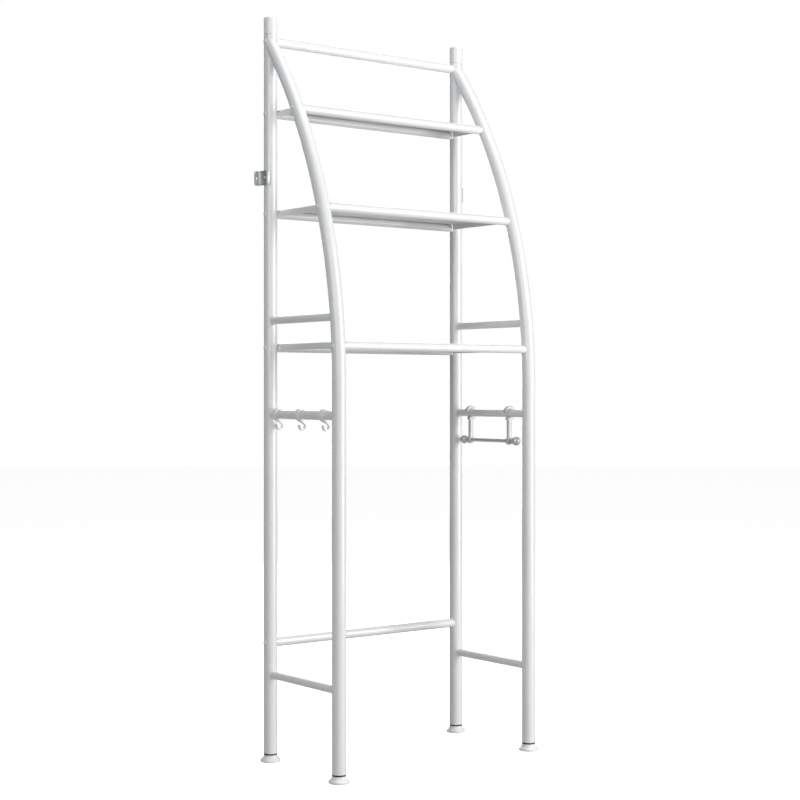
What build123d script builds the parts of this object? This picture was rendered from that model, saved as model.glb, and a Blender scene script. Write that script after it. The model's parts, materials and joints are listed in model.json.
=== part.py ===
"""Over the toilet storage rack: a steel tube frame with curved front tubes, three shelves,
a hook rail on the left, a paper holder on the right rail, and four levelling feet.

Millimetres, +Z up, +Y towards the wall, +X to the right of a person facing the rack.
The origin is on the floor, in the middle of the four feet.
"""
from functools import cache
from math import cos, radians, sin, sqrt
import os

from build123d import *

os.makedirs("parts", exist_ok=True)

# ---- overall size -----------------------------------------------------------------------
HEIGHT = 1550.0
POST_SPACING_X = 500.0      # left post axis to right post axis
POST_SPACING_Y = 246.0      # front leg axis to rear post axis
LEFT, RIGHT = -POST_SPACING_X / 2, POST_SPACING_X / 2
FRONT, REAR = -POST_SPACING_Y / 2, POST_SPACING_Y / 2
SIDES = {"left": LEFT, "right": RIGHT}

# ---- tubes ------------------------------------------------------------------------------
POST_R = 14.0
CROSSBAR_R = 9.5            # top crossbar, rear stretcher and hook rail
SLIM_BAR_R = 8.0            # shelf rails, side bars and paper rail
WALL = 1.2
COPE_GAP = 0.05             # between a coped bar end and the tube it is fitted to

# ---- heights ----------------------------------------------------------------------------
TUBE_JOINT_Z = 760.0        # lower side frame meets upper side frame
ARC_START_Z = 790.0         # the front tube starts to curve here
ARC_R = 1140.0              # radius of the curved front tube's axis
PAST_POST_DEG = 40.0        # turned so far, the curved tube's axis is past the rear post's
CAP_HEIGHT = 36.0
POST_TOP_Z = HEIGHT - CAP_HEIGHT
TOP_CROSSBAR_Z = 1499.0
STRETCHER_Z = 247.5
SIDE_STRETCHER_Z = 181.0
RAIL_Z = 723.0              # hook rail and paper rail
GUARD_Z = 918.0
SHELF_Z = {"upper": 1348.0, "middle": 1139.5, "lower": 860.5}

# ---- feet -------------------------------------------------------------------------------
FOOT_R = 21.0
FOOT_TOP_Z = 14.0
STUD_R = 4.0
STUD_LENGTH = 40.0
STUD_BOTTOM_Z = 4.0
FOOT_TO_PLUG_GAP = 0.4
PLUG_FLANGE = 2.8
PLUG_DEPTH = 30.0
LEG_BOTTOM_Z = FOOT_TOP_Z + FOOT_TO_PLUG_GAP + PLUG_FLANGE
NUT_ACROSS_FLATS = 13.0
NUT_HEIGHT = 6.5
NUT_Z = LEG_BOTTOM_Z + 2.0

# ---- fastenings of the crossbars --------------------------------------------------------
BOLT_R = 2.95
BOLT_REACH = 20.0           # past the post's inner face, into the bar's end plug
BOLT_HOLE_R = 3.2
BOLT_HEAD_R = 4.6
BOLT_HEAD_HEIGHT = 1.5
BOLT_HEAD_ROUNDING = 1.1
SOCKET_R = 1.9
SOCKET_DEPTH = 0.9
END_PLUG_LENGTH = 22.0

# ---- shelves ----------------------------------------------------------------------------
PANEL_THICKNESS = 1.2
PANEL_WIDTH = POST_SPACING_X - 2 * POST_R - 4.0
PANEL_FLANGE = 12.0
PANEL_OVERHANG = 3.0        # past each rail's axis
PANEL_CORNER_R = 4.0

# ---- hooks on the left rail -------------------------------------------------------------
HOOK_YS = {"rear": 93.0, "middle": 9.0, "front": -75.0}
HOOK_WIDTH = 14.0           # of the band that lies over the rail
HOOK_LOOP_WIDTH = 8.0       # of the lower loop
HOOK_TAPER_Z = (-8.0, -17.0)  # the band narrows between these heights, from the rail's axis
HOOK_THICKNESS = 3.4
HOOK_EDGE_R = 1.2
HOOK_RAIL_CLEARANCE = 0.3
HOOK_UPPER_R = CROSSBAR_R + HOOK_RAIL_CLEARANCE + HOOK_THICKNESS / 2
HOOK_LOWER_R = 7.0
HOOK_LEAVE_DEG = 240.0      # where the upper loop runs into the spine
HOOK_SPINE = 14.0
HOOK_TIP = 3.0

# ---- paper holder on the right rail -----------------------------------------------------
ARM_YS = {"front": -60.0, "rear": 70.0}
ARM_THICKNESS = 9.0
ARM_INNER_R = SLIM_BAR_R + 0.3
ARM_OUTER_R = 16.0
ARM_SHANK_WIDTH = 11.0
ARM_DROP = 60.0             # rail axis to rod axis
ARM_EYE_R = 8.5
ROD_R = 4.0
ROD_CLEARANCE = 0.05
KNOB_R = 9.5
KNOB_NECK_R = 6.0
KNOB_YS = {"front": -82.5, "rear": 92.5}

# ---- wall clips -------------------------------------------------------------------------
CLIP_Z = 1215.0
CLIP_HEIGHT = 30.0
CLIP_THICKNESS = 2.0
CLIP_EAR = 11.0
CLIP_WRAP_DEG = 60.0
WALL_PLANE_Y = REAR + FOOT_R
WALL_SCREW_HOLE_R = 2.25
CLIP_SCREW_R = 1.75
CLIP_SCREW_HEAD_R = 3.4
CLIP_SCREW_LENGTH = 9.0


# ---- small helpers ----------------------------------------------------------------------
def rod_x(radius, x_a, x_b, y, z):
    return Pos((x_a + x_b) / 2, y, z) * Rot(0, 90, 0) * Cylinder(radius, abs(x_b - x_a))


def rod_y(radius, y_a, y_b, x, z):
    return Pos(x, (y_a + y_b) / 2, z) * Rot(90, 0, 0) * Cylinder(radius, abs(y_b - y_a))


def rod_z(radius, z_a, z_b, x, y):
    return Pos(x, y, (z_a + z_b) / 2) * Cylinder(radius, abs(z_b - z_a))


def outward(x):
    """-1 on the left side of the rack, 1 on the right."""
    return 1 if x > 0 else -1


def largest(shape):
    return max(shape.solids(), key=lambda piece: piece.volume)


def write(shape, node):
    export_step(shape, f"parts/{node}.step")


def arc_y(z):
    """Y of the curved front tube's axis at height z."""
    rise = max(z - ARC_START_Z, 0.0)
    return FRONT + ARC_R - sqrt(ARC_R**2 - rise**2)


def front_path(x, z_from, end_deg):
    """Axis of a front tube: upright from z_from, then bending back by end_deg."""
    start = Vector(x, FRONT, z_from)
    bend = Vector(x, FRONT, ARC_START_Z)
    turned = radians(end_deg)
    half = turned / 2
    middle = Vector(x, FRONT + ARC_R * (1 - cos(half)), ARC_START_Z + ARC_R * sin(half))
    end = Vector(x, FRONT + ARC_R * (1 - cos(turned)), ARC_START_Z + ARC_R * sin(turned))
    return Wire([Edge.make_line(start, bend), Edge.make_three_point_arc(bend, middle, end)])


@cache
def curved_rod(x, radius):
    """The curved front tube as a full rod, running a little way past the rear post's axis."""
    path = front_path(x, TUBE_JOINT_Z, PAST_POST_DEG)
    section = Plane(origin=path @ 0, z_dir=path % 0) * Circle(radius)
    return sweep(section, path)


def post_rod(x, y, radius, z_a=0.0, z_b=HEIGHT):
    return rod_z(radius, z_a, z_b, x, y)


# Every crossbar runs along X: its axis (y, z) and its radius.
CROSSBARS = {
    "top_crossbar": (REAR, TOP_CROSSBAR_Z, CROSSBAR_R),
    "rear_stretcher": (REAR, STRETCHER_Z, CROSSBAR_R),
}
for tier, shelf_z in SHELF_Z.items():
    CROSSBARS[f"{tier}_shelf_front_rail"] = (arc_y(shelf_z), shelf_z, SLIM_BAR_R)
    CROSSBARS[f"{tier}_shelf_rear_rail"] = (REAR, shelf_z, SLIM_BAR_R)


def with_bolt_holes(tube, x):
    """Both walls of a post or curved tube are drilled for each crossbar's bolt."""
    for y, z, _ in CROSSBARS.values():
        tube -= rod_x(BOLT_HOLE_R, x - POST_R - 2, x + POST_R + 2, y, z)
    return tube


# ---- side frames ------------------------------------------------------------------------
def lower_post(x, y):
    post = post_rod(x, y, POST_R, LEG_BOTTOM_Z, TUBE_JOINT_Z)
    post -= post_rod(x, y, POST_R - WALL, LEG_BOTTOM_Z, TUBE_JOINT_Z)
    return with_bolt_holes(post, x)


def upper_rear_post(x):
    post = post_rod(x, REAR, POST_R, TUBE_JOINT_Z, POST_TOP_Z)
    post -= post_rod(x, REAR, POST_R - WALL, TUBE_JOINT_Z, POST_TOP_Z)
    post -= rod_x(CLIP_SCREW_R, x, x + outward(x) * 20, REAR, CLIP_Z)
    return with_bolt_holes(post, x)


def curved_tube(x):
    """Curves back from the front leg and ends on the front of the rear post."""
    tube = curved_rod(x, POST_R) - curved_rod(x, POST_R - WALL)
    tube -= post_rod(x, REAR, POST_R + COPE_GAP)
    tube = largest(tube)
    return with_bolt_holes(tube, x)


def side_bar(x, z, radius):
    """Welded between the rear post and the front tube, with its ends coped to them."""
    bar = rod_y(radius, FRONT, REAR, x, z) - rod_y(radius - WALL, FRONT, REAR, x, z)
    bar -= post_rod(x, REAR, POST_R + COPE_GAP)
    if z > TUBE_JOINT_Z:
        bar -= curved_rod(x, POST_R + COPE_GAP)
    else:
        bar -= post_rod(x, FRONT, POST_R + COPE_GAP)
    return largest(bar)


def joiner_sleeves():
    """Inside each pair of tube ends: half in the lower tube, half in the upper tube."""
    radius = POST_R - WALL - 0.05
    half_length = 28.0
    sleeves = []
    for x in SIDES.values():
        for y in (FRONT, REAR):
            sleeve = post_rod(x, y, radius, TUBE_JOINT_Z - half_length, TUBE_JOINT_Z + half_length)
            sleeve -= post_rod(x, y, radius - 1.5)
            sleeves.append(sleeve.solid())
    return Compound(children=sleeves)


def post_cap(x):
    """Moulded cap: a head as wide as the post, and a spigot pushed into it."""
    head = post_rod(x, REAR, POST_R + 0.2, POST_TOP_Z, HEIGHT)
    head = fillet(head.edges().group_by(Axis.Z)[-1], 2.5)
    return head + post_rod(x, REAR, POST_R - WALL - 0.05, POST_TOP_Z - 10, POST_TOP_Z)


# ---- crossbars and what holds them ------------------------------------------------------
def crossbar(y, z, radius):
    bar = rod_x(radius, LEFT, RIGHT, y, z) - rod_x(radius - WALL, LEFT, RIGHT, y, z)
    for x in SIDES.values():
        bar -= post_rod(x, REAR, POST_R + COPE_GAP)
        if z > TUBE_JOINT_Z:
            bar -= curved_rod(x, POST_R + COPE_GAP)
    return largest(bar)


def end_plug(x, y, z, radius):
    """Threaded plug fixed inside one end of a crossbar."""
    face = x - outward(x) * (POST_R + 0.5)
    back = face - outward(x) * END_PLUG_LENGTH
    plug = rod_x(radius - WALL - 0.05, face, back, y, z)
    return (plug - rod_x(BOLT_R + 0.05, face, back, y, z)).solid()


def outer_rim_rounded(head, x, radius):
    """A screw's head with the edge that faces away from the rack rounded."""
    rims = head.edges().filter_by(GeomType.CIRCLE).sort_by(Axis.X)
    return fillet(rims[-1] if outward(x) > 0 else rims[0], radius)


def crossbar_bolt(x, y, z):
    """Button-headed bolt: its head on the outer side of the post."""
    seat = x + outward(x) * POST_R
    tip = x - outward(x) * (POST_R + BOLT_REACH)
    top = seat + outward(x) * BOLT_HEAD_HEIGHT
    head = outer_rim_rounded(rod_x(BOLT_HEAD_R, seat, top, y, z), x, BOLT_HEAD_ROUNDING)
    socket = Plane(origin=(top, y, z), z_dir=(-outward(x), 0, 0)) * RegularPolygon(SOCKET_R, 6)
    return (head + rod_x(BOLT_R, seat, tip, y, z) - extrude(socket, SOCKET_DEPTH)).solid()


# ---- shelves ----------------------------------------------------------------------------
def shelf_panel(tier):
    """Steel sheet lying on the two rails, with its left and right edges turned down."""
    z = SHELF_Z[tier] + SLIM_BAR_R + 0.02
    y_front = arc_y(SHELF_Z[tier])
    y_from, y_to = y_front - PANEL_OVERHANG, REAR + PANEL_OVERHANG
    sheet = Pos(0, (y_from + y_to) / 2, z) * extrude(
        RectangleRounded(PANEL_WIDTH, y_to - y_from, PANEL_CORNER_R), PANEL_THICKNESS)
    flange_from = y_front + SLIM_BAR_R + 2
    flange_to = REAR - SLIM_BAR_R - 2
    for side in (-1, 1):
        x = side * (PANEL_WIDTH - PANEL_THICKNESS) / 2
        flange = Box(PANEL_THICKNESS, flange_to - flange_from, PANEL_FLANGE + 0.5)
        sheet += Pos(x, (flange_from + flange_to) / 2, z - PANEL_FLANGE / 2 + 0.25) * flange
    # clearance around the posts at the sheet's corners
    for x in SIDES.values():
        sheet -= post_rod(x, REAR, POST_R + 1.5)
        sheet -= curved_rod(x, POST_R + 1.5)
    return largest(sheet)


# ---- feet -------------------------------------------------------------------------------
def leg_plug(x, y):
    """Black insert in the leg's end: its flange shows as a thin ring, a nut is inside."""
    flange_z = LEG_BOTTOM_Z - PLUG_FLANGE
    plug = post_rod(x, y, POST_R, flange_z, LEG_BOTTOM_Z)
    plug += post_rod(x, y, POST_R - WALL - 0.05, LEG_BOTTOM_Z, LEG_BOTTOM_Z + PLUG_DEPTH)
    plug -= post_rod(x, y, STUD_R + 0.2)
    return (plug - hex_prism(x, y, NUT_ACROSS_FLATS + 0.1, NUT_Z, NUT_HEIGHT)).solid()


def hex_prism(x, y, across_flats, z, height):
    outline = RegularPolygon(across_flats / 2, 6, major_radius=False)
    return Pos(x, y, z) * extrude(outline, height)


def leg_nut(x, y):
    nut = hex_prism(x, y, NUT_ACROSS_FLATS, NUT_Z + 0.05, NUT_HEIGHT - 0.1)
    return (nut - post_rod(x, y, STUD_R + 0.05)).solid()


def foot_base(x, y):
    """Moulded base: a broad rounded disc under a short cone."""
    disc_top, cone_bottom_r, cone_top_r = 5.6, 16.4, 13.2
    outline = Polyline(
        (0, 0), (FOOT_R - 2.0, 0), (FOOT_R, 1.8), (FOOT_R, 3.6), (FOOT_R - 2.2, disc_top),
        (cone_bottom_r, disc_top + 0.9), (cone_top_r + 0.6, FOOT_TOP_Z - 1.2),
        (cone_top_r - 0.4, FOOT_TOP_Z), (0, FOOT_TOP_Z), close=True)
    base = revolve(Plane.XZ * make_face(outline), Axis.Z)
    return Pos(x, y, 0) * base - post_rod(x, y, STUD_R + 0.02, STUD_BOTTOM_Z, FOOT_TOP_Z)


def foot_stud(x, y):
    stud = post_rod(x, y, STUD_R, STUD_BOTTOM_Z, STUD_BOTTOM_Z + STUD_LENGTH)
    return chamfer(stud.edges().group_by(Axis.Z)[-1], 0.8)


# ---- hooks ------------------------------------------------------------------------------
def hook_path():
    """S shape in the XZ plane, about the rail's axis: over the rail, under it, and up again."""
    upper = [(HOOK_UPPER_R * cos(radians(a)), HOOK_UPPER_R * sin(radians(a)))
             for a in (0.0, HOOK_LEAVE_DEG / 2, HOOK_LEAVE_DEG)]
    heading = radians(HOOK_LEAVE_DEG + 90.0)
    bend = (upper[2][0] + HOOK_SPINE * cos(heading), upper[2][1] + HOOK_SPINE * sin(heading))
    centre = (bend[0] + HOOK_LOWER_R * sin(heading), bend[1] - HOOK_LOWER_R * cos(heading))
    lower = [(centre[0] + HOOK_LOWER_R * cos(radians(a)), centre[1] + HOOK_LOWER_R * sin(radians(a)))
             for a in (-60.0, 180.0)]
    tip = (lower[1][0], lower[1][1] + HOOK_TIP)

    def at(point):
        return Vector(point[0], 0, point[1])

    return Wire([
        Edge.make_three_point_arc(at(upper[0]), at(upper[1]), at(upper[2])),
        Edge.make_line(at(upper[2]), at(bend)),
        Edge.make_three_point_arc(at(bend), at(lower[0]), at(lower[1])),
        Edge.make_line(at(lower[1]), at(tip)),
    ])


def rail_hook(y):
    path = hook_path()
    start = Plane(origin=path @ 0, x_dir=(0, 1, 0), z_dir=path % 0)
    section = start * RectangleRounded(HOOK_WIDTH, HOOK_THICKNESS, HOOK_EDGE_R)
    band = sweep(section, path)
    taper_top, taper_end = HOOK_TAPER_Z
    outer, inner, below = HOOK_WIDTH, HOOK_LOOP_WIDTH / 2, -60.0
    side = make_face(Polyline((HOOK_WIDTH / 2, taper_top), (inner, taper_end), (inner, below),
                              (outer, below), (outer, taper_top), close=True))
    trim = extrude(Plane.YZ * side, 40, both=True)
    band -= trim
    band -= mirror(trim, Plane.XZ)
    return Pos(LEFT, y, RAIL_Z) * largest(band)


# ---- paper holder -----------------------------------------------------------------------
def paper_arm(y):
    """Cast arm: an open ring hung on the rail, a shank, and an eye that the rod turns in."""
    ring = Circle(ARM_OUTER_R)
    shank_length = ARM_DROP - ARM_INNER_R
    shank = Pos(0, -ARM_INNER_R - shank_length / 2) * Rectangle(ARM_SHANK_WIDTH, shank_length)
    outline = ring + shank + Pos(0, -ARM_DROP) * Circle(ARM_EYE_R)
    outline -= Circle(ARM_INNER_R)
    outline -= Pos(0, -ARM_DROP) * Circle(ROD_R + ROD_CLEARANCE)
    mouth = [(0, 0), (-20 * cos(radians(8)), 20 * sin(radians(8))),
             (-22, -12), (-20 * cos(radians(56)), -20 * sin(radians(56)))]
    outline -= make_face(Polyline(*mouth, close=True))
    plate = Plane(origin=(RIGHT, y + ARM_THICKNESS / 2, RAIL_Z), x_dir=(1, 0, 0), z_dir=(0, -1, 0))
    arm = extrude(plate * outline, ARM_THICKNESS)
    return largest(arm)


def paper_rod():
    return rod_y(ROD_R, KNOB_YS["front"] + 1, KNOB_YS["rear"] - 1, RIGHT, RAIL_Z - ARM_DROP)


def rod_knob(y):
    inward = 1 if y < 0 else -1
    z = RAIL_Z - ARM_DROP
    neck_end = y + inward * (KNOB_R + 4)
    knob = Pos(RIGHT, y, z) * Sphere(KNOB_R)
    knob += rod_y(KNOB_NECK_R, y, neck_end, RIGHT, z)
    return knob - rod_y(ROD_R + 0.02, y + inward * 0.95, y + inward * 20, RIGHT, z)


# ---- wall clips -------------------------------------------------------------------------
def wall_clip(x):
    """Strap round the outer side of the rear post, with an ear that is screwed to the wall."""
    inner, outer = POST_R + COPE_GAP, POST_R + COPE_GAP + CLIP_THICKNESS
    wrap = radians(CLIP_WRAP_DEG)
    band = Circle(outer) - Circle(inner)
    keep = make_face(Polyline((0, 0), (30, 0), (30, -30), (30 * cos(wrap), -30 * sin(wrap)), close=True))
    band = band & keep
    leg_length = WALL_PLANE_Y - REAR
    band += Pos((inner + outer) / 2, leg_length / 2) * Rectangle(CLIP_THICKNESS, leg_length)
    ear_width = CLIP_EAR + CLIP_THICKNESS
    band += Pos(inner + ear_width / 2, leg_length - CLIP_THICKNESS / 2) * Rectangle(
        ear_width, CLIP_THICKNESS)
    clip = extrude(band, CLIP_HEIGHT)
    ear_edges = clip.edges().filter_by(Axis.Y).group_by(Axis.X)[-1]
    clip = fillet(ear_edges, 4.0)
    if outward(x) < 0:
        clip = mirror(clip, Plane.YZ)
    clip = Pos(x, REAR, CLIP_Z - CLIP_HEIGHT / 2) * clip
    clip -= rod_y(WALL_SCREW_HOLE_R, REAR, WALL_PLANE_Y + 5, clip_hole_x(x), CLIP_Z)
    return clip - rod_x(CLIP_SCREW_R + 0.05, x, x + outward(x) * 25, REAR, CLIP_Z)


def clip_hole_x(x):
    return x + outward(x) * (POST_R + CLIP_THICKNESS + CLIP_EAR / 2 + 0.5)


def clip_screw(x):
    """Self-tapping screw that holds the clip to the post."""
    seat = x + outward(x) * (POST_R + COPE_GAP + CLIP_THICKNESS)
    tip = seat - outward(x) * CLIP_SCREW_LENGTH
    head = rod_x(CLIP_SCREW_HEAD_R, seat, seat + outward(x) * 1.8, REAR, CLIP_Z)
    head = outer_rim_rounded(head, x, 1.2)
    return (head + rod_x(CLIP_SCREW_R - 0.05, seat, tip, REAR, CLIP_Z)).solid()


# ---- build every node -------------------------------------------------------------------
def build_side_frames():
    for side, x in SIDES.items():
        write(lower_post(x, REAR), f"rear_{side}_lower_post")
        write(lower_post(x, FRONT), f"front_{side}_leg")
        write(upper_rear_post(x), f"rear_{side}_upper_post")
        write(curved_tube(x), f"front_{side}_curved_tube")
        write(side_bar(x, GUARD_Z, SLIM_BAR_R), f"{side}_guard_bar")
        write(side_bar(x, SIDE_STRETCHER_Z, SLIM_BAR_R), f"{side}_side_stretcher")
        write(post_cap(x), f"{side}_post_cap")
    write(side_bar(LEFT, RAIL_Z, CROSSBAR_R), "hook_rail")
    write(side_bar(RIGHT, RAIL_Z, SLIM_BAR_R), "paper_rail")
    write(joiner_sleeves(), "joiner_sleeves")


def build_crossbars():
    plugs, bolts = [], []
    for node, (y, z, radius) in CROSSBARS.items():
        write(crossbar(y, z, radius), node)
        for x in SIDES.values():
            plugs.append(end_plug(x, y, z, radius))
            bolts.append(crossbar_bolt(x, y, z))
    write(Compound(children=plugs), "crossbar_end_plugs")
    write(Compound(children=bolts), "crossbar_bolts")
    for tier in SHELF_Z:
        write(shelf_panel(tier), f"{tier}_shelf_panel")


def build_feet():
    plugs, nuts = [], []
    for row, y in (("front", FRONT), ("rear", REAR)):
        for side, x in SIDES.items():
            plugs.append(leg_plug(x, y))
            nuts.append(leg_nut(x, y))
            write(foot_base(x, y), f"{row}_{side}_foot_base")
            write(foot_stud(x, y), f"{row}_{side}_foot_stud")
    write(Compound(children=plugs), "leg_end_plugs")
    write(Compound(children=nuts), "leg_nuts")


def build_accessories():
    for place, y in HOOK_YS.items():
        write(rail_hook(y), f"{place}_rail_hook")
    for place, y in ARM_YS.items():
        write(paper_arm(y), f"{place}_paper_arm")
        write(rod_knob(KNOB_YS[place]), f"{place}_rod_knob")
    write(paper_rod(), "paper_rod")
    screws = []
    for side, x in SIDES.items():
        write(wall_clip(x), f"{side}_wall_clip")
        screws.append(clip_screw(x))
    write(Compound(children=screws), "wall_clip_screws")


build_side_frames()
build_crossbars()
build_feet()
build_accessories()
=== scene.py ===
# %% [markdown]
# # A steel rack that stands over a toilet
# The rack's tubes, bars, shelves, feet and joints are already built to size in a CAD model.
# That model is the fixed frame of this scene: nothing in it moves or changes. This notebook gives
# each piece its finish, models again by hand the small pieces whose soft edges the CAD mesh
# can't show, and lights the whole like a catalogue picture.

# %% Load the frame
import json
import math

import bpy
from mathutils import Matrix, Vector


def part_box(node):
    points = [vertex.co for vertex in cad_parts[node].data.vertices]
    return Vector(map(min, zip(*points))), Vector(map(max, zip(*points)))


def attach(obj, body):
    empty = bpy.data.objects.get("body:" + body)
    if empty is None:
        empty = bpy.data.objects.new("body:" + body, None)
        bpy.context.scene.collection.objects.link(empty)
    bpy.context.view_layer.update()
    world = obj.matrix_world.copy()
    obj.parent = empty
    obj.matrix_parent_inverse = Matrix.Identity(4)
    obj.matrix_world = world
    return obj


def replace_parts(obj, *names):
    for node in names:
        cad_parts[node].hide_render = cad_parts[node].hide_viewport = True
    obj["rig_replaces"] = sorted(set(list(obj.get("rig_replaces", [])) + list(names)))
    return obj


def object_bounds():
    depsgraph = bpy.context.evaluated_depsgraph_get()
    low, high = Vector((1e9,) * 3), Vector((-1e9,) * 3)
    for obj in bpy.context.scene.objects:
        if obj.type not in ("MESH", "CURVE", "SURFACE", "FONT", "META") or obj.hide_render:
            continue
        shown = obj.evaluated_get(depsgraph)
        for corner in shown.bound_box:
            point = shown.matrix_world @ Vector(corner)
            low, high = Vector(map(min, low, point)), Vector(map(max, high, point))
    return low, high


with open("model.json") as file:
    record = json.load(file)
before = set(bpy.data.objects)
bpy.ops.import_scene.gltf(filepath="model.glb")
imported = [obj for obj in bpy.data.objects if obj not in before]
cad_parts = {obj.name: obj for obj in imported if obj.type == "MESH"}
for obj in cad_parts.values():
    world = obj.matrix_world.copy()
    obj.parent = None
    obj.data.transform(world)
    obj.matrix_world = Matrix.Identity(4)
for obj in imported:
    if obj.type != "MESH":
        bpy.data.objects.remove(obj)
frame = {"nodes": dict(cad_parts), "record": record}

cad_low, cad_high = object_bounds()
cad_nodes = frame["nodes"]
print("nodes", len(cad_nodes), "height", round(cad_high.z - cad_low.z, 3))

# %% [markdown]
# ## Places and sizes taken from the frame
# A piece that is modelled by hand has to sit exactly where its CAD twin sits. The boxes of the
# posts, bars and feet give every axis, so no place is typed in twice.

# %% Read the axes
MM = 0.001


def middle(node):
    low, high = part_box(node)
    return (low + high) / 2


LEFT_X, RIGHT_X = middle("rear_left_lower_post").x, middle("rear_right_lower_post").x
FRONT_Y, REAR_Y = middle("front_left_leg").y, middle("rear_left_lower_post").y
POST_R = (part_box("front_left_leg")[1].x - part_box("front_left_leg")[0].x) / 2
CAP_SEAT_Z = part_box("rear_left_upper_post")[1].z
RAIL_Z = middle("hook_rail").z
ROD_Z = middle("paper_rod").z
SIDES = {"left": LEFT_X, "right": RIGHT_X}
ROWS = {"front": FRONT_Y, "rear": REAR_Y}
print("post axes at x", round(LEFT_X, 4), round(RIGHT_X, 4), "and y", round(FRONT_Y, 4), round(REAR_Y, 4))

# %% [markdown]
# ## Camera
# A long lens far away keeps the upright tubes nearly parallel. The camera is level, so that they
# stay upright in the picture, and a small lens shift, not a tilt, sets how high the rack stands in it.

# %% Place the camera
LENS_MM = 75.4
EYE = Vector((-2.165, -2.812, 0.770))
TURNED_DEG = -37.54
FILM_MM = 36
FRAME_SHIFT = -0.0103

bpy.ops.object.camera_add(location=EYE, rotation=(math.radians(90), 0, math.radians(TURNED_DEG)))
camera = bpy.context.object
camera.name = "catalogue_camera"
camera.data.lens = LENS_MM
camera.data.sensor_width = FILM_MM
camera.data.shift_y = FRAME_SHIFT
bpy.context.scene.camera = camera
print("camera", [round(v, 3) for v in camera.location])

# %% [markdown]
# ## Studio
# A white object on a white ground is drawn by its shaded sides alone. So the room gives only a
# little even light, and one tall soft key lamp on the right whitens the sides that face it. Three
# weaker lamps, on the left, behind and above, keep the other sides a cool grey. The floor glows a
# little, as a lit acrylic table does, which keeps it pale to the horizon.

# %% Room light
ROOM_STRENGTH = 0.15

bpy.context.scene.view_settings.view_transform = "Standard"
room = bpy.data.worlds.new("studio_room")
bpy.context.scene.world = room
room.use_nodes = True
room_nodes = room.node_tree.nodes
room_links = room.node_tree.links
ambient = room_nodes["Background"]
ambient.inputs["Color"].default_value = (0.93, 0.96, 1.0, 1)
ambient.inputs["Strength"].default_value = ROOM_STRENGTH
white = room_nodes.new("ShaderNodeBackground")
white.inputs["Color"].default_value = (1, 1, 1, 1)
seen = room_nodes.new("ShaderNodeLightPath")
either = room_nodes.new("ShaderNodeMixShader")
room_links.new(seen.outputs["Is Camera Ray"], either.inputs["Fac"])
room_links.new(ambient.outputs[0], either.inputs[1])
room_links.new(white.outputs[0], either.inputs[2])
room_links.new(either.outputs[0], room_nodes["World Output"].inputs["Surface"])
print("room strength", ROOM_STRENGTH)

# %% Soft lamps
AIM = Vector((0, 0, 0.85))


def soft_lamp(name, place, size, watts, colour=(1, 1, 1)):
    bpy.ops.object.light_add(type="AREA", location=place)
    lamp = bpy.context.object
    lamp.name = name
    lamp.rotation_euler = (AIM - Vector(place)).to_track_quat("-Z", "Y").to_euler()
    lamp.data.shape = "RECTANGLE"
    lamp.data.size, lamp.data.size_y = size
    lamp.data.energy = watts
    lamp.data.color = colour
    return lamp


soft_lamp("key_lamp", (1.75, -3.1, 1.0), (1.4, 3.4), 126, (1.0, 0.99, 0.97))
soft_lamp("left_lamp", (-3.4, -1.8, 1.8), (1.6, 2.0), 40, (0.95, 0.98, 1.0))
soft_lamp("back_lamp", (1.9, 3.3, 1.5), (1.8, 2.6), 44)
soft_lamp("top_lamp", (-0.1, -0.5, 3.7), (2.6, 2.4), 42)

# %% Floor
FLOOR_R = 14
FLOOR_Z = -0.0002
FLOOR_GREY = 0.45
FLOOR_GLOW = 0.90

bpy.ops.mesh.primitive_circle_add(vertices=96, radius=FLOOR_R, fill_type="NGON", location=(0, 0, FLOOR_Z))
floor = bpy.context.object
floor.name = "studio_floor"
floor_paint = bpy.data.materials.new("studio_floor_paint")
floor_paint.use_nodes = True
floor_nodes, floor_links = floor_paint.node_tree.nodes, floor_paint.node_tree.links
floor_shader = floor_nodes["Principled BSDF"]
floor_shader.inputs["Base Color"].default_value = (FLOOR_GREY, FLOOR_GREY, FLOOR_GREY, 1)
floor_shader.inputs["Roughness"].default_value = 0.7
glow = floor_nodes.new("ShaderNodeEmission")
straight = floor_nodes.new("ShaderNodeLightPath")
glowing = floor_nodes.new("ShaderNodeMath")
glowing.operation = "MULTIPLY"
glowing.inputs[1].default_value = FLOOR_GLOW
both = floor_nodes.new("ShaderNodeAddShader")
floor_links.new(straight.outputs["Is Camera Ray"], glowing.inputs[0])
floor_links.new(glowing.outputs[0], glow.inputs["Strength"])
floor_links.new(floor_shader.outputs[0], both.inputs[0])
floor_links.new(glow.outputs[0], both.inputs[1])
floor_links.new(both.outputs[0], floor_nodes["Material Output"].inputs["Surface"])
floor.data.materials.append(floor_paint)
print("floor radius", FLOOR_R)

# %% [markdown]
# ## Finishes
# Every finish is a small tree of nodes. Its patterns read Object coordinates, which are metres on
# the rack itself, so a bump is as large as it is on the real surface. Values that are the same all
# over stay on the shader.

# %% Helpers for finishes
def new_finish(name):
    finish = bpy.data.materials.new(name)
    finish.use_nodes = True
    tree = finish.node_tree
    place = tree.nodes.new("ShaderNodeTexCoord").outputs["Object"]
    return finish, tree, tree.nodes["Principled BSDF"], place


def stretched(tree, place, scale):
    """The same place with each axis scaled, for grain that runs one way."""
    mapping = tree.nodes.new("ShaderNodeMapping")
    mapping.inputs["Scale"].default_value = scale
    tree.links.new(place, mapping.inputs["Vector"])
    return mapping.outputs["Vector"]


def noise(tree, place, scale, detail=2.0):
    node = tree.nodes.new("ShaderNodeTexNoise")
    node.inputs["Scale"].default_value = scale
    node.inputs["Detail"].default_value = detail
    tree.links.new(place, node.inputs["Vector"])
    return node.outputs["Fac"]


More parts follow.
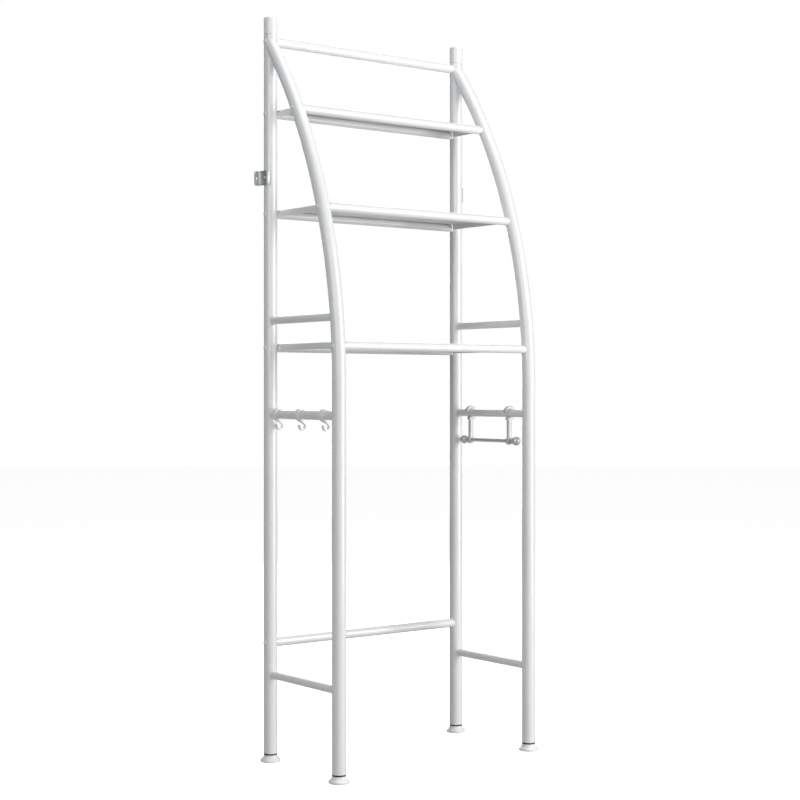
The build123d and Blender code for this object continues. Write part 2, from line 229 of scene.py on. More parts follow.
def spread(tree, factor, socket, low, high):
    """Sends the middle of a noise, stretched to run from low to high, to a value socket."""
    node = tree.nodes.new("ShaderNodeMapRange")
    node.inputs["From Min"].default_value = 0.3
    node.inputs["From Max"].default_value = 0.7
    node.inputs["To Min"].default_value = low
    node.inputs["To Max"].default_value = high
    tree.links.new(factor, node.inputs["Value"])
    tree.links.new(node.outputs["Result"], socket)


def tint(tree, factor, socket, dark, light):
    """Sends the middle of a noise, coloured from dark to light, to a colour socket."""
    node = tree.nodes.new("ShaderNodeValToRGB")
    first, last = node.color_ramp.elements
    first.position, last.position = 0.35, 0.65
    first.color, last.color = (*dark, 1), (*light, 1)
    tree.links.new(factor, node.inputs["Fac"])
    tree.links.new(node.outputs["Color"], socket)


def bumps(tree, shader, heights):
    """Stacks bump maps: each is (height, strength, depth in metres)."""
    below = None
    for height, strength, depth in heights:
        node = tree.nodes.new("ShaderNodeBump")
        node.inputs["Strength"].default_value = strength
        node.inputs["Distance"].default_value = depth
        tree.links.new(height, node.inputs["Height"])
        if below:
            tree.links.new(below, node.inputs["Normal"])
        below = node.outputs["Normal"]
    tree.links.new(below, shader.inputs["Normal"])


print("helpers ready")

# %% [markdown]
# ### White powder coat
# Powder paint melts into a thick glossy skin. It is smooth to the hand, but reflections in it
# ripple, which is called orange peel: waves of two or three millimetres, a few microns deep. Under
# them the film is a little thicker or thinner from place to place, which shifts its shade slightly.

# %% Powder coat
powder_coat, tree, shader, place = new_finish("white_powder_coat")
tint(tree, noise(tree, place, 6, 0), shader.inputs["Base Color"],
     (0.870, 0.873, 0.876), (0.880, 0.882, 0.882))
spread(tree, noise(tree, place, 24, 0), shader.inputs["Roughness"], 0.255, 0.27)
shader.inputs["IOR"].default_value = 1.5
shader.inputs["Coat Weight"].default_value = 0.25
shader.inputs["Coat Roughness"].default_value = 0.10
bumps(tree, shader, [
    (noise(tree, place, 420, 0), 0.08, 0.00005),
    (noise(tree, place, 1900, 2), 0.05, 0.00002),
])
print(powder_coat.name)

# %% [markdown]
# ### White moulded plastic
# The feet, caps and hooks are moulded in polypropylene: a slightly warmer white, softer in its
# gloss, and with the fine sparked grain of the mould.

# %% Moulded plastic, white and black
def moulded(name, dark, light, rough_low, rough_high):
    finish, tree, shader, place = new_finish(name)
    tint(tree, noise(tree, place, 22, 3), shader.inputs["Base Color"], dark, light)
    spread(tree, noise(tree, place, 160, 3), shader.inputs["Roughness"], rough_low, rough_high)
    shader.inputs["IOR"].default_value = 1.49
    bumps(tree, shader, [
        (noise(tree, place, 2600, 3), 0.22, 0.00003),
        (noise(tree, place, 120, 1), 0.10, 0.00012),
    ])
    return finish


white_plastic = moulded("white_moulded_plastic", (0.92, 0.92, 0.912), (0.95, 0.95, 0.942), 0.24, 0.34)
foot_plastic = moulded("foot_moulded_plastic", (0.92, 0.92, 0.915), (0.95, 0.95, 0.945), 0.16, 0.26)
black_plastic = moulded("black_moulded_plastic", (0.016, 0.016, 0.017), (0.030, 0.030, 0.031), 0.42, 0.58)
print(white_plastic.name, black_plastic.name)

# %% [markdown]
# ### Metals
# Zinc plate is dull and faintly clouded. The chrome is a satin plate with hair scratches from handling.
# The paper arms are castings under a silver enamel, finely speckled by its metal flakes. The wall
# clips are bent from plated strip, which keeps the fine lines of the rolling mill.

# %% Zinc, chrome, silver enamel and plated strip
zinc_plate, tree, shader, place = new_finish("zinc_plate")
tint(tree, noise(tree, place, 90, 4), shader.inputs["Base Color"],
     (0.50, 0.51, 0.52), (0.68, 0.69, 0.70))
spread(tree, noise(tree, place, 240, 3), shader.inputs["Roughness"], 0.26, 0.46)
shader.inputs["Metallic"].default_value = 1.0
bumps(tree, shader, [(noise(tree, stretched(tree, place, (1, 1, 9)), 500, 2), 0.15, 0.00004)])

chrome_plate, tree, shader, place = new_finish("chrome_plate")
tint(tree, noise(tree, place, 30, 2), shader.inputs["Base Color"],
     (0.74, 0.75, 0.76), (0.82, 0.825, 0.83))
spread(tree, noise(tree, place, 130, 4), shader.inputs["Roughness"], 0.34, 0.43)
shader.inputs["Metallic"].default_value = 0.6
bumps(tree, shader, [
    (noise(tree, stretched(tree, place, (14, 1, 1)), 700, 2), 0.08, 0.00002),
    (noise(tree, place, 260, 1), 0.06, 0.00005),
])

silver_enamel, tree, shader, place = new_finish("silver_enamel")
tint(tree, noise(tree, place, 45, 1), shader.inputs["Base Color"],
     (0.62, 0.63, 0.64), (0.68, 0.685, 0.69))
spread(tree, noise(tree, place, 200, 2), shader.inputs["Roughness"], 0.34, 0.42)
shader.inputs["Metallic"].default_value = 0.12
bumps(tree, shader, [
    (noise(tree, place, 3200, 2), 0.12, 0.00002),
    (noise(tree, place, 180, 1), 0.08, 0.00008),
])

strip_steel, tree, shader, place = new_finish("plated_strip_steel")
tint(tree, noise(tree, place, 70, 3), shader.inputs["Base Color"],
     (0.66, 0.68, 0.66), (0.78, 0.79, 0.77))
spread(tree, noise(tree, place, 260, 3), shader.inputs["Roughness"], 0.38, 0.52)
shader.inputs["Metallic"].default_value = 1.0
bumps(tree, shader, [(noise(tree, stretched(tree, place, (1, 1, 16)), 240, 2), 0.12, 0.00004)])
print(zinc_plate.name, chrome_plate.name, silver_enamel.name, strip_steel.name)

# %% Dress the CAD nodes
FINISH_OF_SLOT = {
    "white_steel": powder_coat,
    "white_plastic": white_plastic,
    "black_plastic": black_plastic,
    "zinc_steel": zinc_plate,
    "chrome": chrome_plate,
    "clip_steel": strip_steel,
    "silver_enamel": silver_enamel,
}
for part in frame["record"]["subparts"]:
    node = cad_nodes[part["node"]]
    node.data.materials.clear()
    node.data.materials.append(FINISH_OF_SLOT[part["material_slot"]])

# %% [markdown]
# ## Tools for hand modelling
# Blender's operators act on whatever is selected, so each piece starts from an empty selection.
# When its shape is done, its place is applied to its mesh, because the frame keeps every object at
# the origin, and its faces are turned outwards and shaded smooth except at sharp corners.

# %% Start, edit and finish a piece
def clear_selection():
    if bpy.context.object and bpy.context.object.mode != "OBJECT":
        bpy.ops.object.mode_set(mode="OBJECT")
    bpy.ops.object.select_all(action="DESELECT")


def start_edit(name):
    """Names the primitive that was just added and opens it for editing."""
    piece = bpy.context.object
    piece.name = name
    bpy.ops.object.mode_set(mode="EDIT")
    bpy.ops.mesh.select_all(action="SELECT")
    return piece


def apply_modifier(piece, kind, **settings):
    bpy.ops.object.mode_set(mode="OBJECT")
    modifier = piece.modifiers.new(kind.lower(), kind)
    for key, value in settings.items():
        setattr(modifier, key, value)
    bpy.ops.object.modifier_apply(modifier=modifier.name)


def soften(piece, width, segments, corner_deg):
    """Rounds each corner that is sharper than corner_deg. The width is in millimetres."""
    apply_modifier(piece, "BEVEL", width=width * MM, segments=segments, limit_method="ANGLE",
                   angle_limit=math.radians(corner_deg))


def put(piece, place):
    """Moves the mesh and leaves the object at the origin."""
    piece.data.transform(Matrix.Translation(place))


def finish_piece(piece, finish, body, stands_for=(), smooth_deg=35):
    bpy.ops.object.mode_set(mode="EDIT")
    bpy.ops.mesh.select_all(action="SELECT")
    bpy.ops.mesh.remove_doubles(threshold=0.00001)
    bpy.ops.mesh.normals_make_consistent(inside=False)
    bpy.ops.object.mode_set(mode="OBJECT")
    bpy.ops.object.transform_apply(location=True, rotation=True, scale=True)
    bpy.ops.object.shade_smooth_by_angle(angle=math.radians(smooth_deg))
    piece.data.materials.clear()
    piece.data.materials.append(finish)
    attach(piece, body)
    if stands_for:
        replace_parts(piece, *stands_for)
    return piece


def twin(piece, name, offset, body, stands_for):
    """A copy with its own mesh, moved by offset."""
    clear_selection()
    copy = piece.copy()
    copy.data = piece.data.copy()
    copy.name = name
    put(copy, offset)
    if "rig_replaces" in copy:
        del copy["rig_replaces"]
    bpy.context.scene.collection.objects.link(copy)
    copy.parent = None
    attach(copy, body)
    if stands_for:
        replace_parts(copy, *stands_for)
    return copy


print("modelling tools ready")

# %% [markdown]
# ## Turned pieces
# Caps, feet and knobs are round about one axis. A filled circle is extruded and resized ring by
# ring, as a wood turner works along the blank. Rings set close together keep a corner crisp, and
# the smooth shading between them does the rest.

# %% Turn on the lathe
def turned(name, profile, steps=72):
    """profile lists (radius, height) in millimetres, from the bottom up, about the Z axis."""
    clear_selection()
    radius, height = profile[0]
    bpy.ops.mesh.primitive_circle_add(vertices=steps, radius=radius * MM, fill_type="NGON",
                                      location=(0, 0, 0))
    piece = start_edit(name)
    bpy.ops.transform.translate(value=(0, 0, height * MM))
    for next_radius, next_height in profile[1:]:
        bpy.ops.mesh.extrude_region_move(
            TRANSFORM_OT_translate={"value": (0, 0, (next_height - height) * MM)})
        share = next_radius / radius
        bpy.ops.transform.resize(value=(share, share, 1), center_override=(0, 0, next_height * MM))
        radius, height = next_radius, next_height
    return piece


def quarter_round(radius, corner, base_height, steps=6):
    """Rings of a rounded top corner: it ends corner inwards and corner above base_height."""
    rings = []
    for step in range(steps + 1):
        turn = math.radians(90 * step / steps)
        rings.append((radius - corner * (1 - math.cos(turn)), base_height + corner * math.sin(turn)))
    return rings


print("quarter round of 2 mm:", quarter_round(14, 2, 0, 2))

# %% [markdown]
# ### Post caps
# Each rear post ends in a moulded cap. Its head is a hair wider than the tube, has a rounded rim,
# and stands off the tube by a fine shadow gap, which is the thin line seen just under it.

# %% Post caps
CAP_HEIGHT = (cad_high.z - CAP_SEAT_Z) / MM
CAP_R = POST_R / MM + 0.2
STEM_R = 12.7
STEM_END = -9.0
SHADOW_GAP = 0.5
RIM_ROUND = 2.6
CROWN = 0.3
cap_profile = [(STEM_R - 0.1, STEM_END), (STEM_R, STEM_END + 0.4), (STEM_R, SHADOW_GAP)]
cap_profile += [(13.1, 0.6), (CAP_R - 0.35, 0.7), (CAP_R, 1.1), (CAP_R, CAP_HEIGHT * 0.5)]
cap_profile += quarter_round(CAP_R, RIM_ROUND, CAP_HEIGHT - RIM_ROUND - CROWN)
cap_profile += [(8.0, CAP_HEIGHT - 0.12), (3.0, CAP_HEIGHT - 0.02), (0.4, CAP_HEIGHT)]
first_cap = turned("left_cap_moulding", cap_profile)
finish_piece(first_cap, white_plastic, "frame", ["left_post_cap"])
put(first_cap, (LEFT_X, REAR_Y, CAP_SEAT_Z))
twin(first_cap, "right_cap_moulding", (RIGHT_X - LEFT_X, 0, 0), "frame", ["right_post_cap"])
print("cap height", round(CAP_HEIGHT, 2))

# %% [markdown]
# ### Feet
# A foot is a broad moulded disc under a short waisted neck. The hollow of the neck catches the
# shade and the rounded rim catches the light, so the profile is drawn with a concave sweep. The
# recess in its top is where the screw stud enters.

# %% Feet
foot_low, foot_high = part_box("front_left_foot_base")
FOOT_R = (foot_high.x - foot_low.x) / 2 / MM
FOOT_HEIGHT = (foot_high.z - foot_low.z) / MM
RECESS_R = 5.2
foot_profile = [(FOOT_R - 4.5, 0.9), (FOOT_R - 4.0, 0.9), (FOOT_R - 3.4, 0.05), (FOOT_R - 2.2, 0.0)]
foot_profile += [(FOOT_R - 0.8, 0.35), (FOOT_R - 0.2, 1.0), (FOOT_R, 1.9), (FOOT_R, 3.2)]
foot_profile += [(FOOT_R - 0.25, 4.0), (FOOT_R - 0.9, 4.7), (FOOT_R - 2.0, 5.5), (FOOT_R - 3.3, 6.5)]
foot_profile += [(FOOT_R - 4.6, 7.7), (FOOT_R - 5.7, 9.0), (FOOT_R - 6.5, 10.4), (FOOT_R - 7.0, 11.8)]
foot_profile += [(FOOT_R - 7.2, FOOT_HEIGHT - 0.9), (FOOT_R - 7.5, FOOT_HEIGHT - 0.3)]
foot_profile += [(FOOT_R - 8.1, FOOT_HEIGHT), (RECESS_R + 1.2, FOOT_HEIGHT)]
foot_profile += [(RECESS_R + 0.4, FOOT_HEIGHT - 0.3), (RECESS_R, FOOT_HEIGHT - 1.6), (0.6, FOOT_HEIGHT - 1.7)]
first_foot = turned("front_left_foot_moulding", foot_profile)
finish_piece(first_foot, foot_plastic, "front_left_foot", ["front_left_foot_base"])
first_place = Vector((LEFT_X, FRONT_Y, 0))
put(first_foot, first_place)
for row, side in (("front", "right"), ("rear", "left"), ("rear", "right")):
    foot = f"{row}_{side}_foot"
    offset = Vector((SIDES[side], ROWS[row], 0)) - first_place
    twin(first_foot, f"{foot}_moulding", offset, foot, [f"{foot}_base"])
print("foot radius", round(FOOT_R, 2), "height", round(FOOT_HEIGHT, 2))

# %% [markdown]
# ### Ball knobs
# The rod of the paper holder ends in two turned balls. Each has a neck and a small collar where it
# meets the arm's eye. The lathe works along Z, so a knob is turned upright and then laid along Y.

# %% Ball knobs
BALL_R = (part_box("front_rod_knob")[1].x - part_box("front_rod_knob")[0].x) / 2 / MM
BALL_FROM_DEG, BALL_TO_DEG, BALL_RINGS = -88, 46, 24
WAIST_R = 5.0
COLLAR_R = 6.0
ball_profile = []
for step in range(BALL_RINGS + 1):
    turn = math.radians(BALL_FROM_DEG + step * (BALL_TO_DEG - BALL_FROM_DEG) / BALL_RINGS)
    ball_profile.append((BALL_R * math.cos(turn), BALL_R * math.sin(turn)))
ball_profile += [(WAIST_R + 0.6, BALL_R * 0.80), (WAIST_R + 0.2, BALL_R * 0.92)]
ball_profile += [(WAIST_R, BALL_R), (WAIST_R + 0.1, BALL_R + 1.0)]
ball_profile += [(COLLAR_R - 0.4, BALL_R + 1.3), (COLLAR_R, BALL_R + 1.7), (COLLAR_R, BALL_R + 3.2)]
ball_profile += [(COLLAR_R - 0.4, BALL_R + 3.8), (COLLAR_R - 1.4, BALL_R + 4.0), (0.5, BALL_R + 4.0)]
for row, inward in (("front", 1), ("rear", -1)):
    knob_low, knob_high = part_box(f"{row}_rod_knob")
    centre_y = knob_low.y + BALL_R * MM if inward > 0 else knob_high.y - BALL_R * MM
    knob = turned(f"{row}_ball_knob", ball_profile, 64)
    bpy.ops.object.mode_set(mode="OBJECT")
    knob.rotation_euler = (math.radians(-90 * inward), 0, 0)
    knob.location = (middle("paper_rod").x, centre_y, ROD_Z)
    finish_piece(knob, chrome_plate, "paper_rod", [f"{row}_rod_knob"])
print("ball radius", round(BALL_R, 2))

# %% [markdown]
# ## Pieces bent from one section
# A hook, the ring of an arm and a wall clip are all one section led along a bent line: arcs and
# straight runs. By hand this is done with two tools in turn: Spin, which leads the section round a
# centre, and Extrude, which pushes it straight on. The last section stays selected after each.

# %% Lead a section
def flat_section(name, size_x, size_y, place, corner, corner_steps=4):
    """A rounded rectangle facing up, millimetres."""
    clear_selection()
    bpy.ops.mesh.primitive_plane_add(size=1, location=(0, 0, 0))
    piece = start_edit(name)
    bpy.ops.transform.resize(value=(size_x * MM, size_y * MM, 1))
    if corner:
        bpy.ops.mesh.bevel(offset=corner * MM, segments=corner_steps, affect="VERTICES")
    bpy.ops.transform.translate(value=tuple(v * MM for v in place))
    return piece


def turn_section(piece, degrees):
    """Turns a whole section about the origin. The degrees are right-handed about X, Y and Z."""
    bpy.ops.object.mode_set(mode="OBJECT")
    piece.rotation_euler = tuple(math.radians(v) for v in degrees)
    bpy.ops.object.transform_apply(location=False, rotation=True, scale=False)
    bpy.ops.object.mode_set(mode="EDIT")
    bpy.ops.mesh.select_all(action="SELECT")


def lead_round(centre, axis, degrees, steps):
    """Right-handed about axis. Spin itself turns the other way, so its angle is negative."""
    bpy.ops.mesh.spin(steps=steps, angle=math.radians(-degrees),
                      center=tuple(v * MM for v in centre), axis=axis)


def push(direction, length, widen_y=1.0):
    """Pushes the section on by length in millimetres, and scales its width along Y."""
    move = Vector(direction).normalized() * length * MM
    bpy.ops.mesh.extrude_region_move(TRANSFORM_OT_translate={"value": tuple(move)})
    if widen_y != 1.0:
        bpy.ops.transform.resize(value=(1, widen_y, 1), center_override=(0, 0, 0))


def close_ends():
    """Gives a face to any end that was left open."""
    bpy.ops.mesh.select_mode(type="EDGE")
    bpy.ops.mesh.select_all(action="DESELECT")
    bpy.ops.mesh.select_non_manifold(extend=False, use_wire=False, use_multi_face=False,
                                     use_non_contiguous=False, use_verts=False)
    if bpy.context.object.data.total_edge_sel:
        bpy.ops.mesh.edge_face_add()
    bpy.ops.mesh.select_mode(type="FACE")


print("sweeping tools ready")

# %% [markdown]
# ### Hooks on the left rail
# Each hook is a moulded S. A wide band goes over the rail, so that it can't twist, and narrows to
# the small loop that a cloth hangs in. The band starts level with the rail's axis on the inner
# side, turns 240 degrees about it, runs straight, and turns back the other way.

# %% Hooks
hook_low, hook_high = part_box("middle_rail_hook")
rail_low, rail_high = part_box("hook_rail")
RAIL_PLAY = 0.3
HOOK_THICKNESS = 3.4
HOOK_CORNER = 1.3
HOOK_BAND = (hook_high.y - hook_low.y) / MM
HOOK_LOOP_WIDTH = 8.0
HOOK_OVER_RAIL_R = (rail_high.z - rail_low.z) / 2 / MM + RAIL_PLAY + HOOK_THICKNESS / 2
HOOK_TURN_DEG, HOOK_LOOP_DEG = 240, 240
HOOK_RUN, HOOK_LOOP_R, HOOK_TIP = 14.0, 7.0, 3.0
heading = math.radians(HOOK_TURN_DEG + 90)
run_way = (math.cos(heading), 0, math.sin(heading))
band_turn = math.radians(HOOK_TURN_DEG)
band_end = Vector((math.cos(band_turn), 0, math.sin(band_turn)))
loop_start = band_end * HOOK_OVER_RAIL_R + Vector(run_way) * HOOK_RUN
loop_centre = loop_start + Vector((math.sin(heading), 0, -math.cos(heading))) * HOOK_LOOP_R

first_hook = flat_section("rear_hook_moulding", HOOK_THICKNESS, HOOK_BAND, (HOOK_OVER_RAIL_R, 0, 0),
                          HOOK_CORNER)
lead_round((0, 0, 0), (0, -1, 0), HOOK_TURN_DEG, 44)
run_steps = 7
narrowing = (HOOK_LOOP_WIDTH / HOOK_BAND) ** (1 / (run_steps - 2))
for step in range(run_steps):
    push(run_way, HOOK_RUN / run_steps, narrowing if 0 < step < run_steps - 1 else 1.0)
lead_round(loop_centre, (0, 1, 0), HOOK_LOOP_DEG, 36)
push((0, 0, 1), HOOK_TIP * 0.7)
push((0, 0, 1), HOOK_TIP * 0.3, 0.93)
close_ends()
soften(first_hook, 0.9, 4, 60)
finish_piece(first_hook, white_plastic, "rear_hook", ["rear_rail_hook"], 50)
rear_hook_place = Vector((LEFT_X, middle("rear_rail_hook").y, RAIL_Z))
put(first_hook, rear_hook_place)
for place in ("middle", "front"):
    offset = (0, middle(f"{place}_rail_hook").y - rear_hook_place.y, 0)
    twin(first_hook, f"{place}_hook_moulding", offset, f"{place}_hook", [f"{place}_rail_hook"])
hook_zs = [corner[2] for corner in first_hook.bound_box]
print("hook z", round(min(hook_zs), 4), round(max(hook_zs), 4))
print("CAD hook z", round(hook_low.z, 4), round(hook_high.z, 4))

# %% [markdown]
# ### Arms of the paper holder
# The arms are cast: an open ring that hangs on the rail, a rounded shank and an eye for the rod.
# Casting leaves no sharp inner corners. So the three shapes are joined, melted into one skin by a
# voxel remesh, and relaxed a little, which fills the corners between them.

# %% Paper arms
arm_low, arm_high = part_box("front_paper_arm")
paper_rail_low, paper_rail_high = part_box("paper_rail")
ARM_DEPTH = (arm_high.y - arm_low.y) / MM
RING_OUTER_R = (arm_high.z - RAIL_Z) / MM
RING_INNER_R = (paper_rail_high.z - paper_rail_low.z) / 2 / MM + RAIL_PLAY
EYE_OUTER_R = (ROD_Z - arm_low.z) / MM
EYE_INNER_R = 4.05
ARM_DROP = (RAIL_Z - ROD_Z) / MM
SHANK_WIDTH = 11.0
RING_CORNER, EYE_CORNER, SHANK_CORNER = 2.8, 1.6, 3.9
RING_BITE, EYE_BITE = 3.0, 2.0
MOUTH_TOP_DEG, RING_SWEEP_DEG = 172, 296
VOXEL = 0.42


def ring_section(name, inner, outer, corner):
    return flat_section(name, outer - inner, ARM_DEPTH, ((inner + outer) / 2, 0, 0), corner)


hanging_ring = ring_section("front_arm_casting", RING_INNER_R, RING_OUTER_R, RING_CORNER)
turn_section(hanging_ring, (0, -MOUTH_TOP_DEG, 0))
lead_round((0, 0, 0), (0, 1, 0), RING_SWEEP_DEG, 60)
close_ends()
soften(hanging_ring, 2.0, 4, 60)

eye = ring_section("arm_eye", EYE_INNER_R, EYE_OUTER_R, EYE_CORNER)
lead_round((0, 0, 0), (0, 1, 0), 360, 48)
bpy.ops.mesh.select_all(action="SELECT")
bpy.ops.mesh.remove_doubles(threshold=0.00002)
bpy.ops.transform.translate(value=(0, 0, -ARM_DROP * MM))
bpy.ops.object.mode_set(mode="OBJECT")

shank_top, shank_end = -(RING_INNER_R + RING_BITE), -(ARM_DROP - EYE_INNER_R - EYE_BITE)
shank = flat_section("arm_shank", SHANK_WIDTH, ARM_DEPTH, (0, 0, shank_end), SHANK_CORNER)
push((0, 0, 1), shank_top - shank_end)
close_ends()
bpy.ops.object.mode_set(mode="OBJECT")

clear_selection()
for shape in (eye, shank, hanging_ring):
    shape.select_set(True)
bpy.context.view_layer.objects.active = hanging_ring
bpy.ops.object.join()
first_arm = bpy.context.object
bpy.ops.object.mode_set(mode="EDIT")
bpy.ops.mesh.select_all(action="SELECT")
bpy.ops.mesh.normals_make_consistent(inside=False)
apply_modifier(first_arm, "REMESH", mode="VOXEL", voxel_size=VOXEL * MM)
apply_modifier(first_arm, "SMOOTH", factor=0.5, iterations=9)
finish_piece(first_arm, silver_enamel, "paper_holder", ["front_paper_arm"], 70)
front_arm_place = Vector((RIGHT_X, (arm_low.y + arm_high.y) / 2, RAIL_Z))
put(first_arm, front_arm_place)
rear_offset = (0, middle("rear_paper_arm").y - front_arm_place.y, 0)
twin(first_arm, "rear_arm_casting", rear_offset, "paper_holder", ["rear_paper_arm"])
print("arm faces", len(first_arm.data.polygons))

# %% [markdown]
# ### Wall clips
# A clip is a strip of plated steel bent round the outer side of the rear post, straight back to
# the wall and out into an ear. It is led like a hook, but its section is a thin tall strip. Short
# pushes, each a little lower than the one before, round the ear's corners. The screw holes in the
# ear and beside the post are cut last, with a Boolean.

# %% Wall clips
clip_low, clip_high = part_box("right_wall_clip")
STRIP = 2.0
CLIP_PLAY = 0.05
CLIP_INNER_R = POST_R / MM + CLIP_PLAY
CLIP_HEIGHT = (clip_high.z - clip_low.z) / MM
CLIP_REACH = (clip_high.y - REAR_Y) / MM
EAR_TIP = (clip_high.x - RIGHT_X) / MM
BEND_R = 2.0
EAR_CORNER = 4.0
EAR_STEPS = 8
EAR_HOLE_R, POST_HOLE_R = 2.25, 1.8
WRAP_DEG = 60
strip_middle = CLIP_INNER_R + STRIP / 2


def round_hole(piece, radius, depth, place, turned_deg=(0, 0, 0)):
    """Cuts a round hole with a cylinder that is then thrown away."""
    clear_selection()
    bpy.ops.mesh.primitive_cylinder_add(vertices=40, radius=radius * MM, depth=depth * MM,
                                        location=tuple(v * MM for v in place),
                                        rotation=tuple(math.radians(v) for v in turned_deg))
    cutter = bpy.context.object
    clear_selection()
    piece.select_set(True)
    bpy.context.view_layer.objects.active = piece
    apply_modifier(piece, "BOOLEAN", object=cutter, operation="DIFFERENCE", solver="EXACT")
    bpy.data.objects.remove(cutter)


clear_selection()
bpy.ops.mesh.primitive_plane_add(size=1, rotation=(math.radians(-90), 0, 0))
bpy.ops.object.transform_apply(location=True, rotation=True, scale=True)
right_clip = start_edit("right_bent_clip")
bpy.ops.transform.resize(value=(STRIP * MM, 1, CLIP_HEIGHT * MM))
bpy.ops.transform.translate(value=(strip_middle * MM, 0, 0))
turn_section(right_clip, (0, 0, -WRAP_DEG))
lead_round((0, 0, 0), (0, 0, 1), WRAP_DEG, 16)
straight_run = CLIP_REACH - STRIP - BEND_R
push((0, 1, 0), straight_run)
bend_middle = BEND_R + STRIP / 2
lead_round((strip_middle + bend_middle, straight_run, 0), (0, 0, -1), 90, 7)
push((1, 0, 0), EAR_TIP - EAR_CORNER - strip_middle - bend_middle)
half_height, reached = CLIP_HEIGHT / 2, 0.0
for step in range(1, EAR_STEPS + 1):
    turn = math.radians(90 * step / EAR_STEPS)
    push((1, 0, 0), EAR_CORNER * math.sin(turn) - reached)
    reached = EAR_CORNER * math.sin(turn)
    next_half = CLIP_HEIGHT / 2 - EAR_CORNER * (1 - math.cos(turn))
    bpy.ops.transform.resize(value=(1, 1, next_half / half_height), center_override=(0, 0, 0))
    half_height = next_half
close_ends()
bpy.ops.mesh.select_all(action="SELECT")
bpy.ops.mesh.normals_make_consistent(inside=False)
ear_middle = (CLIP_INNER_R + STRIP + EAR_TIP) / 2
round_hole(right_clip, EAR_HOLE_R, 6 * STRIP, (ear_middle, CLIP_REACH, 0), (90, 0, 0))
round_hole(right_clip, POST_HOLE_R, 4 * STRIP, (strip_middle, 0, 0), (0, 90, 0))
soften(right_clip, 0.35, 3, 50)
finish_piece(right_clip, strip_steel, "frame", ["right_wall_clip"])
left_clip = twin(right_clip, "left_bent_clip", (0, 0, 0), "frame", ["left_wall_clip"])
left_clip.data.transform(Matrix.Scale(-1, 4, (1, 0, 0)))
left_clip.data.flip_normals()
clip_z = (clip_low.z + clip_high.z) / 2
put(right_clip, (RIGHT_X, REAR_Y, clip_z))
put(left_clip, (LEFT_X, REAR_Y, clip_z))
print("clip ear tip", round(EAR_TIP, 2), "reach", round(CLIP_REACH, 2))

# %% [markdown]
# ### Shelf panels
# A shelf is one steel sheet. Its left and right edges are folded down over a small radius, and
# the fold stops short of the corners, so that the sheet can lie on the rails there. It is drawn as
# the sheet's middle surface, folded with Spin, and Solidify gives it the sheet's thickness.

# %% Shelf panels
SHEET = 1.2
FOLD_R = 2.2
NOTCH = 13.0
SHEET_CORNER = 2.4


def select_edges(piece, wanted):
    """Selects the edges whose two ends, in millimetres, pass the test."""
    bpy.ops.mesh.select_mode(type="EDGE")
    bpy.ops.mesh.select_all(action="DESELECT")
    bpy.ops.object.mode_set(mode="OBJECT")
    corners = piece.data.vertices
    for edge in piece.data.edges:
        first, second = (corners[v].co / MM for v in edge.vertices)
        edge.select = wanted(first, second)
    bpy.ops.object.mode_set(mode="EDIT")


def near(a, b):
    """True for two places less than a hundredth of a millimetre apart."""
    return abs(a - b) < 0.01


def folded_sheet(name, low, high):
    """A sheet inside the box from low to high, millimetres."""
    side_x, top_z = high.x - SHEET / 2, high.z - SHEET / 2
    fold_x = side_x - FOLD_R
    flange_from, flange_to = low.y + NOTCH, high.y - NOTCH
    clear_selection()
    bpy.ops.mesh.primitive_plane_add(size=1, location=(0, 0, 0))
    sheet = start_edit(name)
    bpy.ops.transform.resize(value=(2 * fold_x * MM, (high.y - low.y) * MM, 1))
    bpy.ops.transform.translate(value=(0, (low.y + high.y) / 2 * MM, top_z * MM))
    for cut_y in (flange_from, flange_to):
        bpy.ops.mesh.select_all(action="SELECT")
        bpy.ops.mesh.bisect(plane_co=(0, cut_y * MM, 0), plane_no=(0, 1, 0))
    for side in (-1, 1):
        select_edges(sheet, lambda p, q: near(p.x, side * fold_x) and near(q.x, side * fold_x)
                     and not flange_from < (p.y + q.y) / 2 < flange_to)
        push((side, 0, 0), high.x - fold_x)
        select_edges(sheet, lambda p, q: near(p.x, side * fold_x) and near(q.x, side * fold_x)
                     and flange_from < (p.y + q.y) / 2 < flange_to)
        lead_round((side * fold_x, 0, top_z - FOLD_R), (0, side, 0), 90, 7)
        push((0, 0, -1), top_z - FOLD_R - low.z)
    bpy.ops.mesh.select_mode(type="VERT")
    bpy.ops.mesh.select_all(action="DESELECT")
    bpy.ops.object.mode_set(mode="OBJECT")
    for corner in sheet.data.vertices:
        place = corner.co / MM
        at_end = near(place.y, low.y) or near(place.y, high.y)
        corner.select = at_end and near(abs(place.x), high.x)
    bpy.ops.object.mode_set(mode="EDIT")
    bpy.ops.mesh.bevel(offset=SHEET_CORNER * MM, segments=6, affect="VERTICES")
    apply_modifier(sheet, "SOLIDIFY", thickness=SHEET * MM, offset=0, use_even_offset=True)
    soften(sheet, 0.3, 3, 50)
    return sheet


for tier in ("upper", "middle", "lower"):
    panel_low, panel_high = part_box(f"{tier}_shelf_panel")
    panel = folded_sheet(f"{tier}_folded_sheet", panel_low / MM, panel_high / MM)
    finish_piece(panel, powder_coat, "frame", [f"{tier}_shelf_panel"], 40)
    print(tier, "panel", len(panel.data.polygons), "faces")

# %% [markdown]
# ### Weld beads
# The short bars between the front and rear tubes are welded on. Under the paint, each weld is a
# soft uneven ring in the corner between bar and post. A thin torus is stretched sideways and bent
# round the post with Simple Deform, which gives the saddle that a round bar cuts on a round post.

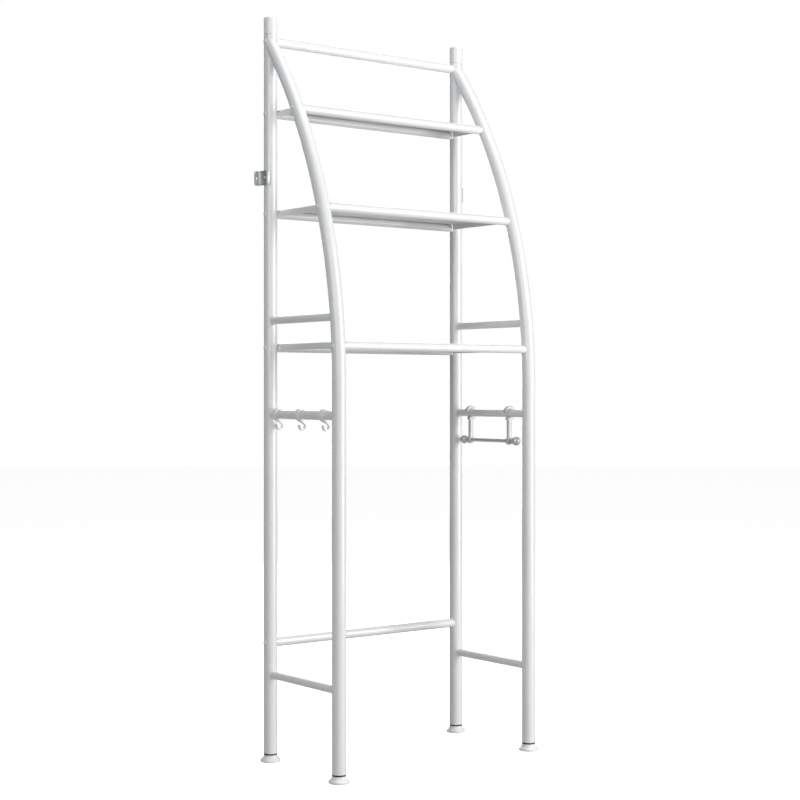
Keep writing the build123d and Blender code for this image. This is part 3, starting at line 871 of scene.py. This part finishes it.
# %% Weld beads
BEAD_R = 1.25
RIPPLE_HEIGHT, RIPPLE_LENGTH = 0.5, 3.5
SIDE_BARS = [f"{side}_{bar}" for side in SIDES for bar in ("guard_bar", "side_stretcher")]
SIDE_BARS += ["hook_rail", "paper_rail"]
ripple = bpy.data.textures.new("weld_ripple", "CLOUDS")
ripple.noise_scale = RIPPLE_LENGTH * MM


def weld_bead(name, bar_r):
    """A bead at the origin, bent to lie on a post of POST_R. bar_r is in millimetres."""
    post_r = POST_R / MM
    wrapped = post_r * math.asin(bar_r / post_r)
    clear_selection()
    bpy.ops.mesh.primitive_torus_add(major_radius=bar_r * MM, minor_radius=BEAD_R * MM,
                                     major_segments=72, minor_segments=14,
                                     location=(0, 0, 0), rotation=(math.radians(90), 0, 0))
    bpy.ops.object.transform_apply(location=True, rotation=True, scale=True)
    bead = start_edit(name)
    bpy.ops.transform.resize(value=(wrapped / bar_r, 1, 1), center_override=(0, 0, 0))
    apply_modifier(bead, "DISPLACE", texture=ripple, strength=RIPPLE_HEIGHT * MM, mid_level=0.5)
    across = [corner.co.x for corner in bead.data.vertices]
    width = (max(across) - min(across)) / MM
    apply_modifier(bead, "SIMPLE_DEFORM", deform_method="BEND", deform_axis="Z", angle=width / post_r)
    return bead


bead_count = 0
for bar in SIDE_BARS:
    bar_low, bar_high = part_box(bar)
    bar_r = (bar_high.z - bar_low.z) / 2
    bar_x, bar_z = (bar_low.x + bar_high.x) / 2, (bar_low.z + bar_high.z) / 2
    notch_depth = math.sqrt(POST_R ** 2 - bar_r ** 2)
    for row, end_y, towards in (("rear", bar_high.y, 1), ("front", bar_low.y, -1)):
        bead = weld_bead(f"{bar}_{row}_weld", bar_r / MM)
        post_y = end_y + towards * notch_depth
        turned_about = Matrix.Rotation(0 if towards > 0 else math.pi, 4, "Z")
        finish_piece(bead, powder_coat, "frame")
        bead.data.transform(turned_about)
        put(bead, (bar_x, post_y - towards * POST_R, bar_z))
        bead_count += 1
print("weld beads", bead_count)
